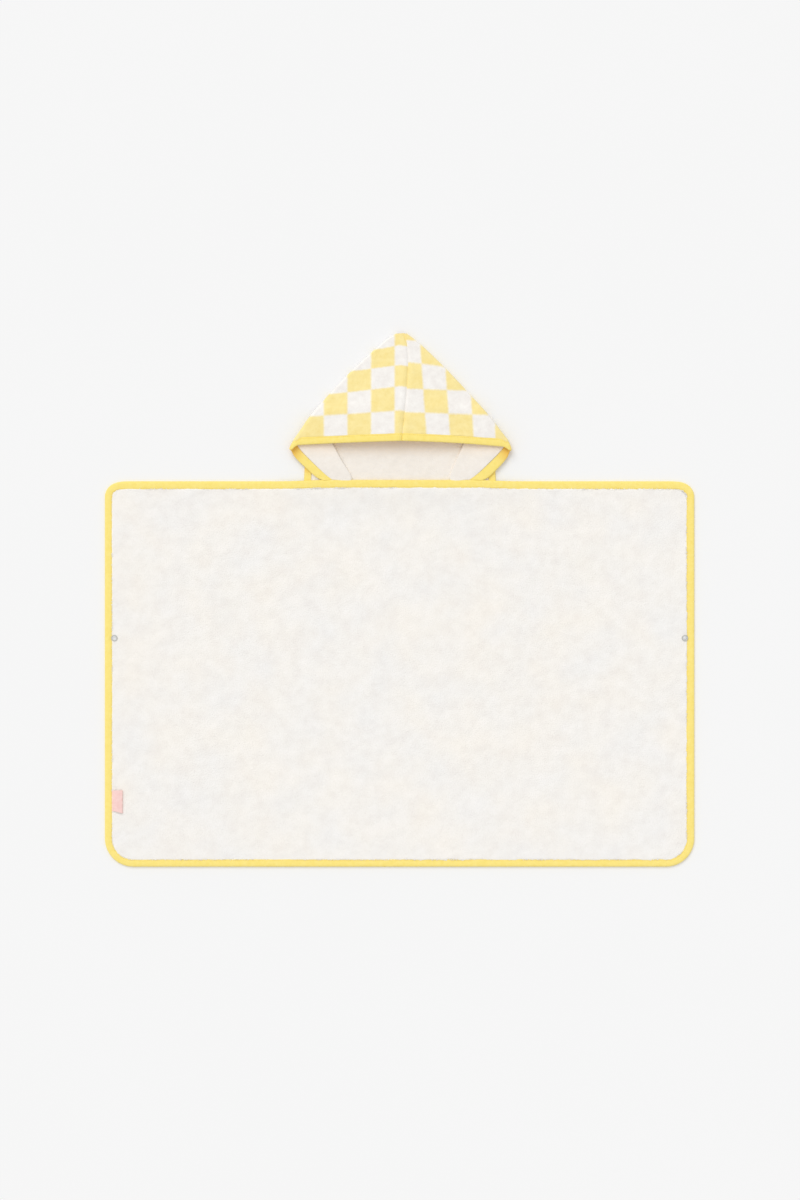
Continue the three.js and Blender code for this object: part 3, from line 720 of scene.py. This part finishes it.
def hood_cloth(name):
    """One half of the hood: front layer, side fold and flap as one wall, moved out both ways from its rows.

    The front is dimpled by soft creases that run down from the point and up from the brow."""
    side = SIDE[name]
    points, normals, half, run = hood_rows(name, STEPS)
    x, v = points[..., 0], points[..., 1]
    front = smooth(normals[..., 2], 0.5, 1.0)
    flap = smooth(-normals[..., 2], 0.5, 1.0)
    body = smooth(np.repeat(STEPS[:, None], x.shape[1], axis=1), 12, 22)
    hills = 0.9 * rolling(x, v, 52, 31) + 0.5 * rolling(x, v, 21, 32) + 0.28 * rolling(x, v, 9, 33)
    pull = 0.5 * rolling(x, v * 0.35, 13, 34) * np.exp(-((v - MOUTH_V - 10) / 22) ** 2)
    points[..., 2] += (front + 0.6 * flap) * hills * (0.25 + 0.75 * body) * smooth(run, 0, 12) + front * pull
    rising = 1 - 0.5 * flap
    upper = to_frame(points + normals * (half * rising)[..., None])
    lower = to_frame(points - normals * half[..., None])
    # the checks' columns are 40 mm wide each way from the middle one, whose two parts meet at the seam
    start = -48.4 if side < 0 else 44.4 - 0.07 * (v - 95)
    beyond = np.maximum(run - (run[:, :1] + np.abs(x[:, :1] - x)), 0)
    across = x + side * beyond + OUTER_SHIFT[name] * smooth(np.abs(x), 140, 178)
    slope = np.interp(v, CHECK_ROWS["v"], CHECK_ROWS[f"{name}_slope"])
    level = v + slope * np.abs(x)
    uv = np.stack([(across - start) / 40, np.interp(level, CHECK_ROWS[name], CHECK_ROWS["row"])], -1)
    return wall(f"hood_cloth_{name}", upper, lower, [CHECKED, INNER], uv)


def hood_back(name):
    """The hood's back layer, flat on the surface: rows between the centre seam and its outer edge."""
    side = SIDE[name]
    v = np.concatenate([np.linspace(-9, 30, 20), np.linspace(32, 75, 18)[:], np.linspace(78, 246, 40)])
    under = {"v": [-9, 31, 45, 60, 75], "inset": [0, 2, 1, -7, -9]}
    outer = np.where(
        v > 75,
        read(OUTLINE, name, v) - 5.5,
        STRIP_X[name] - 2 - read(under, "inset", np.minimum(v, 75)),
    )
    seam = read(SEAM, "x", v)
    share = np.concatenate([np.linspace(0, 0.1, 12), np.linspace(0.1, 1, 40)[1:]])
    x = side * outer[:, None] + (seam - side * outer)[:, None] * share[None, :]
    vv = np.repeat(v[:, None], x.shape[1], axis=1)
    inset = np.abs(side * outer[:, None] - x)
    thin = (1 - smooth(inset, 10.9, 12.6)) * (1 - smooth(vv, 29.5, 31))
    hills = 0.45 * rolling(x, vv, 38, 41) + 0.3 * rolling(x, vv, 14, 42) + 0.2 * rolling(x, vv, 7, 43)
    free = smooth(vv, 0, 12)
    edge = np.sqrt(np.clip(1 - (1 - np.clip(inset / 2.2, 0, 1)) ** 2, 0.1, 1))
    high = mix(2.7 + 0.2 * free + hills * free, 2.1, thin)
    upper = np.stack([x, vv, mix(1.5, high, edge)], -1)
    lower = np.stack([x, vv, mix(1.4, mix(0.05, 1.1, thin), edge)], -1)
    uv = np.stack([(x + 8.4) / 40, (vv - 117) / 40], -1)
    middle = np.stack([x, vv, 0 * x], -1) * MM
    piece = wall(f"hood_back_{name}", to_frame(upper), to_frame(lower), [INNER, CHECKED], uv)
    return piece, wall_area(middle)


def mouth_tape(name):
    """The tape round one half of the hood's mouth, from the centre seam over the corner to the neck.

    Its section stands on the cloth's edge: shares of the way from the edge into the cloth, and distances
    from the cloth's middle along its outward direction."""
    front = np.linspace(0, 1, 84)[:-1]
    fold = np.linspace(0, np.pi, 15)
    inward = np.linspace(0, 1, 44)[1:]
    p, n, _, run = hood_section(name, 0.0, front, fold, inward)
    inside = hood_section(name, TAPE_STEP, front, fold, inward)[0]
    into = inside - p
    wide = 12.2 / TAPE_STEP * (1 + 0.03 * rolling(run, 0 * run, 16, 51))

    def face(section, puckered):
        w = mix(-0.13, 1.0, section[:, 0])[None, :] * wide[:, None]
        out = 2.0 * section[None, :, 1]
        if puckered:
            wave = 0.18 * rolling(run[:, None] + 0 * w, w * 12, 8, 52) + 0.1 * rolling(run[:, None] + 0 * w, w * 12, 3.5, 53)
            out = out + wave * smooth(np.abs(section[None, :, 1]), 0.5, 0.9) * np.sign(section[None, :, 1])
        return to_frame(p[:, None, :] + into[:, None, :] * w[..., None] + n[:, None, :] * out[..., None])

    girth = np.cumsum(np.concatenate([[0], np.linalg.norm(np.diff(TAPE_OUTER * [13.8, 2], axis=0), axis=1)]))
    uv = np.stack(np.broadcast_arrays(run[:, None], girth[None, :]), -1) * MM
    # painted shade: the yellow is deepest where the tape goes under at the corner
    past_fold = run - run[len(front) + len(fold) - 1]
    painted_shade = 0.8 * np.exp(-(((past_fold - 1) / 15) ** 2)) * smooth(past_fold, -12, -2)
    painted_shade = np.broadcast_to(painted_shade, (len(girth), len(run))).T
    tape = wall(f"mouth_tape_{name}", face(TAPE_OUTER, True), face(TAPE_INNER, False), [TAPE], uv, painted_shade=painted_shade)
    return tape, p, into, n, wide, run


def neck_strip(name):
    """The short bound end of the hood's edge beside the neck: the tape's section carried upwards."""
    side = SIDE[name]
    v = np.linspace(0.4, 29, 12)
    lean = 1.5 * v / 29

    def face(section):
        inset = 12 * section[None, :, 0]
        x = side * (STRIP_X[name] - lean[:, None] - inset)
        z = 1.6 + 1.6 * section[None, :, 1] * np.ones_like(x)
        return to_frame(np.stack([x, np.repeat(v[:, None], x.shape[1], axis=1), z], -1))

    girth = TAPE_OUTER[:, 0] * 12
    uv = np.stack(np.broadcast_arrays(v[:, None], girth[None, :]), -1) * MM
    # painted shade: deeper orange towards the upper end, where the strip lies in shadow under the slanted tape
    painted_shade = np.broadcast_to(0.55 * smooth(v, 6, 24)[:, None], (len(v), len(girth)))
    return wall(f"neck_strip_{name}", face(TAPE_OUTER), face(TAPE_INNER), [TAPE], uv, painted_shade=painted_shade)


# ---------- small repeated things ----------
def capsules(name, start, end, up, radius, material, sides=6, bow=0.0):
    """Many short rounded threads as one mesh: five rings round the line from start to end, bowed along up."""
    count = len(start)
    line = end - start
    forward = unit(line)
    across = unit(np.cross(forward, up))
    lifted = np.cross(across, forward)
    at = np.array([0.0, 0.1, 0.5, 0.9, 1.0])
    size = np.array([0.25, 0.8, 1.0, 0.8, 0.25])
    turn = np.linspace(0, 2 * np.pi, sides, endpoint=False)
    centre = start[:, None] + line[:, None] * at[None, :, None]
    centre = centre + lifted[:, None] * (bow * np.sin(np.pi * at))[None, :, None]
    ring = across[:, None, :] * np.cos(turn)[None, :, None] + lifted[:, None, :] * np.sin(turn)[None, :, None]
    points = centre[:, :, None, :] + ring[:, None, :, :] * (radius * size)[None, :, None, None]
    ids = np.arange(count * 5 * sides).reshape(count, 5, sides)
    turned = np.roll(ids, -1, axis=2)
    tube = np.stack([ids[:, :-1], turned[:, :-1], turned[:, 1:], ids[:, 1:]], -1).reshape(-1, 4)
    third = sides // 2
    caps = []
    for ring_ids, order in ((ids[:, 0], -1), (ids[:, -1], 1)):
        for k in range(third - 1):
            a, b = ring_ids[:, k], ring_ids[:, k + 1]
            c, d = ring_ids[:, sides - 2 - k], ring_ids[:, sides - 1 - k]
            caps.append(np.stack([a, b, c, d], -1)[:, ::order])
    faces = np.concatenate([tube, *caps])
    flat_points = points.reshape(-1, 3)
    return make_mesh(name, flat_points, outward(flat_points, faces), [material])


def body_stitches():
    """Lockstitch on the body tape, near its inner edge: 2.6 mm stitches every 3.3 mm, each pressed into the tape."""
    points, normals, run = body_outline(3.2 * MM)
    length = run[-1]
    s = np.arange(0, length, 3.3 * MM)

    def at(distance):
        d = distance % length
        return (
            np.stack([np.interp(d, run, points[:, k]) for k in (0, 1)], -1),
            unit(np.stack([np.interp(d, run, normals[:, k]) for k in (0, 1)], -1)),
        )

    ends = []
    for offset in (0.0, 2.6 * MM):
        p, n = at(s + offset)
        inset = 0.84 * tape_width(n[:, 0], n[:, 1])
        place = p - n * inset[:, None]
        z = TAPE_HEIGHT * 0.955 + lift(place[:, 0], place[:, 1])
        ends.append(np.column_stack([place, z]))
    up = np.tile([0.0, 0.0, 1.0], (len(s), 1))
    return capsules("body_stitches", ends[0], ends[1], up, 0.26 * MM, THREAD, bow=0.12 * MM)


def mouth_stitches(name, p, into, n, wide, run):
    """The same stitch on the mouth tape's outer face."""
    s = np.arange(run[0] + 2, run[-1] - 2, 3.3)

    def at(distance, values):
        return np.stack([np.interp(distance, run, values[:, k]) for k in range(3)], -1)

    ends = []
    for offset in (0.0, 2.6):
        normal = unit(at(s + offset, n))
        w = 0.84 * np.interp(s + offset, run, wide)
        spot = at(s + offset, p) + at(s + offset, into) * w[:, None] + normal * 1.88
        ends.append(to_frame(spot))
    return capsules(f"mouth_stitches_{name}", ends[0], ends[1], unit(at(s, n)), 0.26 * MM, THREAD, bow=0.12 * MM)


def pile_tufts():
    """Loops of pile that lean over the tape's inner edge all round, thick in some places and thin in others."""
    rng = np.random.default_rng(71)
    points, normals, run = body_outline(3.2 * MM)
    count = 5200
    s = rng.uniform(0, run[-1], count)
    thick = rolling(s, 0 * s, 14 * MM, 72)
    s = s[rng.uniform(-1, 0.8, count) < thick]
    p = np.stack([np.interp(s, run, points[:, k]) for k in (0, 1)], -1)
    n = unit(np.stack([np.interp(s, run, normals[:, k]) for k in (0, 1)], -1))
    width = tape_width(n[:, 0], n[:, 1])
    side_step = np.stack([-n[:, 1], n[:, 0]], -1)
    root = p - n * (width + rng.uniform(0.2, 2.2, len(s)) * MM)[:, None]
    tip = root + n * (rng.uniform(0.9, 2.3, len(s)) * MM)[:, None]
    tip = tip + side_step * (rng.uniform(-1, 1, len(s)) * 0.9 * MM)[:, None]
    z_root = PILE - 0.5 * MM + lift(root[:, 0], root[:, 1])
    z_tip = TAPE_HEIGHT + rng.uniform(-0.1, 0.5, len(s)) * MM + lift(tip[:, 0], tip[:, 1])
    up = np.tile([0.0, 0.0, 1.0], (len(s), 1))
    return capsules(
        "pile_tufts", np.column_stack([root, z_root]), np.column_stack([tip, z_tip]), up, 0.42 * MM, TERRY, bow=0.35 * MM
    )


def lathe(name, profile, x, y, materials, split=None, turns=72):
    """A profile of (radius, height) turned about an upright axis at (x, y), its ends on the axis closed by caps.

    Rings past index split take the second material."""
    r, z = np.array(profile, float).T * MM
    turn = np.linspace(0, 2 * np.pi, turns, endpoint=False)
    inner = slice(1, -1)
    rings = np.stack(
        [x + r[inner, None] * np.cos(turn), y + r[inner, None] * np.sin(turn), z[inner, None] + 0 * turn], -1
    )
    ids = np.arange(rings.shape[0] * turns).reshape(-1, turns)
    after = np.roll(ids, -1, axis=1)
    body = np.stack([ids[:-1], after[:-1], after[1:], ids[1:]], -1).reshape(-1, 4)
    kinds = np.zeros(len(body)) if split is None else (np.repeat(np.arange(len(ids) - 1), turns) >= split).astype(float)
    points = np.concatenate([rings.reshape(-1, 3), [[x, y, z[0]], [x, y, z[-1]]]])
    low, high = len(points) - 2, len(points) - 1
    half_turn = np.arange(0, turns, 2)
    nxt, nxt2 = (half_turn + 1) % turns, (half_turn + 2) % turns
    bottom = np.stack([np.full(len(half_turn), low), ids[0][nxt2], ids[0][nxt], ids[0][half_turn]], -1)
    top = np.stack([np.full(len(half_turn), high), ids[-1][half_turn], ids[-1][nxt], ids[-1][nxt2]], -1)
    faces = outward(points, np.concatenate([body, bottom, top]))
    kinds = np.concatenate([kinds, np.zeros(len(bottom)), np.full(len(top), 0.0 if split is None else 1.0)])
    return make_mesh(name, points, faces, materials, kinds)


def snap(name):
    """A ring snap: rounded ring, post and dished or raised middle on the inside, smooth cap on the outside."""
    x = SIDE[name] * (HALF_WIDTH - SNAP_INSET)
    y = NECK_Y - SNAP_DROP
    seat = 4.65
    rim = [(0, 1.7), (1.5, 1.7), (1.5, seat), (5.0, seat), (5.35, seat + 0.12), (5.5, seat + 0.45),
           (5.42, seat + 0.9), (5.1, seat + 1.3), (4.6, seat + 1.5), (4.1, seat + 1.42), (3.7, seat + 1.15),
           (3.45, seat + 0.8), (3.2, seat + 0.72)]
    if name == "left":
        middle = [(2.9, seat + 0.74), (2.5, seat + 0.95), (2.1, seat + 0.98), (1.7, seat + 0.72), (1.0, seat + 0.5), (0, seat + 0.45)]
    else:
        middle = [(2.8, seat + 0.8), (2.5, seat + 1.5), (2.3, seat + 1.9), (1.9, seat + 2.15), (1.1, seat + 2.2), (0, seat + 2.2)]
    ring = lathe(f"snap_ring_{name}", rim + middle, x, y, [RING, PEARL], split=len(rim) - 3)
    cap = [(0, 0.15), (4.6, 0.15), (5.1, 0.25), (5.4, 0.5), (5.35, 0.95), (4.9, 1.2), (4.4, 1.25), (0, 1.3)]
    back = lathe(f"snap_cap_{name}", cap, x, y, [RING])
    return ring, back


def label_loop():
    """A blank ribbon folded into a loop: its path from the tape out and back under itself, carried upwards."""
    reach, height, bottom, loop, thick, slant = 19.4, 35.0, 94.6, 3.2, 0.55, 3.7
    x0 = -HALF_WIDTH / MM + TAPE_WIDTH["left"] - 1.6
    base = 4.5
    r = loop / 2
    turn = np.radians(np.linspace(90, -90, 17))
    out = np.linspace(0, reach - r, 26)[:-1]
    share = out / reach
    f = np.linspace(0, 1, 30)[:, None]

    def face(inset):
        puff = 0.5 * np.sin(np.pi * share) * np.sin(np.pi * f)
        top = np.stack(np.broadcast_arrays(out, base + loop - inset - 4.6 * (1 - share) ** 4 + puff), -1)
        bend_x = reach - r + (r - inset) * np.cos(turn)
        bend_z = base + r + (r - inset) * np.sin(turn)
        bend = np.stack(np.broadcast_arrays(bend_x + 0 * f, bend_z), -1)
        back = np.stack(np.broadcast_arrays(out[::-1] + 0 * f, base + inset - 2.6 * (1 - share[::-1]) ** 4), -1)
        path = np.concatenate([top, bend, back], axis=1)
        low = bottom - slant * (path[..., 0] / reach) ** 1.6
        y = HEM_Y / MM + low + (height + bottom - low) * f + 0 * path[..., 0]
        wave = 0.25 * rolling(path[..., 0], y, 9, 61)
        return np.stack([x0 + path[..., 0], y, path[..., 1] + wave * np.clip(path[..., 0] / reach, 0, 1)], -1) * MM

    return wall("label_ribbon", face(0.0), face(thick), [RIBBON])


# ---------- build ----------
body = body_cloth()
tape = body_tape()
sewing = body_stitches()
tufts = pile_tufts()
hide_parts("body_panel")
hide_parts("binding_bottom", "binding_top", "binding_left", "binding_right")

ribbon = label_loop()
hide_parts("label_loop")

pieces = {body: "terry", tape: "tape", sewing: "tape", tufts: "terry", ribbon: "ribbon"}


for name in ("left", "right"):
    cloth = hood_cloth(name)
    back, back_area = hood_back(name)
    binding, *edge = mouth_tape(name)
    stitches = mouth_stitches(name, *edge)
    strip = neck_strip(name)
    ring, cap = snap(name)
    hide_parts(f"hood_{name}")
    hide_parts(f"hood_tape_brow_{name}", f"hood_tape_side_{name}")
    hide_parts(f"hood_tape_end_{name}")
    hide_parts(f"snap_{name}_ring")
    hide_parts(f"snap_{name}_cap")
    rows, _, _, run = hood_rows(name, STEPS)
    pieces.update({cloth: "check", back: "check", binding: "tape", stitches: "tape", strip: "tape", ring: "metal", cap: "metal"})

for piece, slot in pieces.items():
    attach(piece, "root")

# ---------- floor, light and camera ----------
FLOOR_TONE = srgb(246, 246, 246)


def floor():
    """A wide pale sheet under the cape, just below it."""
    half = 6.0
    corners = np.array([[-half, -half, 0], [half, -half, 0], [half, half, 0], [-half, half, 0]], float)
    corners[:, 2] = -0.15 * MM
    nodes = Nodes("pale_floor", 1.0)
    nodes.shader.inputs["Specular IOR Level"].default_value = 0.0
    where = nodes.place()
    grain = nodes.noise(0.4, where, 1)
    nodes.colour(nodes.ramp(grain, [(0.0, srgb(246, 246, 246)), (1.0, srgb(247, 247, 247))]))
    ground = make_mesh("floor", corners, np.array([[0, 1, 2, 3]]), [nodes.material])
    return ground


def sun_light(name, direction, strength, spread):
    """A sun that shines along a direction, softened over a spread of degrees."""
    lamp = bpy.data.lights.new(name, "SUN")
    lamp.energy = strength
    lamp.angle = np.radians(spread)
    holder = bpy.data.objects.new(name, lamp)
    bpy.context.collection.objects.link(holder)
    holder.location = -2 * Vector(direction)
    holder.rotation_euler = Vector(direction).to_track_quat("-Z", "Y").to_euler()
    return holder


floor()
# together the sky and the sun light a level white surface to just under full white
SKY = 0.745
SUN_SHARE = 0.255
sun_way = Vector((0.45, -0.85, -0.95)).normalized()
sun_light("key_upper_left", sun_way, SUN_SHARE * np.pi / -sun_way.z, 40)
world = bpy.data.worlds.new("studio")
world.use_nodes = True
sky = world.node_tree.nodes["Background"]
sky.inputs["Color"].default_value = (1, 1, 1, 1)
sky.inputs["Strength"].default_value = SKY
backdrop = world.node_tree.nodes.new("ShaderNodeBackground")
backdrop.inputs["Color"].default_value = (*FLOOR_TONE, 1)
ray = world.node_tree.nodes.new("ShaderNodeLightPath")
either = world.node_tree.nodes.new("ShaderNodeMixShader")
world.node_tree.links.new(ray.outputs["Is Camera Ray"], either.inputs["Fac"])
world.node_tree.links.new(sky.outputs[0], either.inputs[1])
world.node_tree.links.new(backdrop.outputs[0], either.inputs[2])
world.node_tree.links.new(either.outputs[0], world.node_tree.nodes["World Output"].inputs["Surface"])
scene = bpy.context.scene
scene.world = world
scene.view_settings.view_transform = "Standard"

# The camera looks straight down through a long lens, its view fitted to the picture's height.
VIEW_HEIGHT = 2.0372
CAMERA_HEIGHT = 5.0
camera = bpy.data.cameras.new("camera")
camera.sensor_fit = "VERTICAL"
camera.sensor_height = 36
camera.lens = camera.sensor_height * CAMERA_HEIGHT / VIEW_HEIGHT
camera.clip_end = 50
eye = bpy.data.objects.new("camera", camera)
bpy.context.collection.objects.link(eye)
eye.location = (0.7 * MM, NECK_Y - 201.5 * MM, CAMERA_HEIGHT)
scene.camera = eye
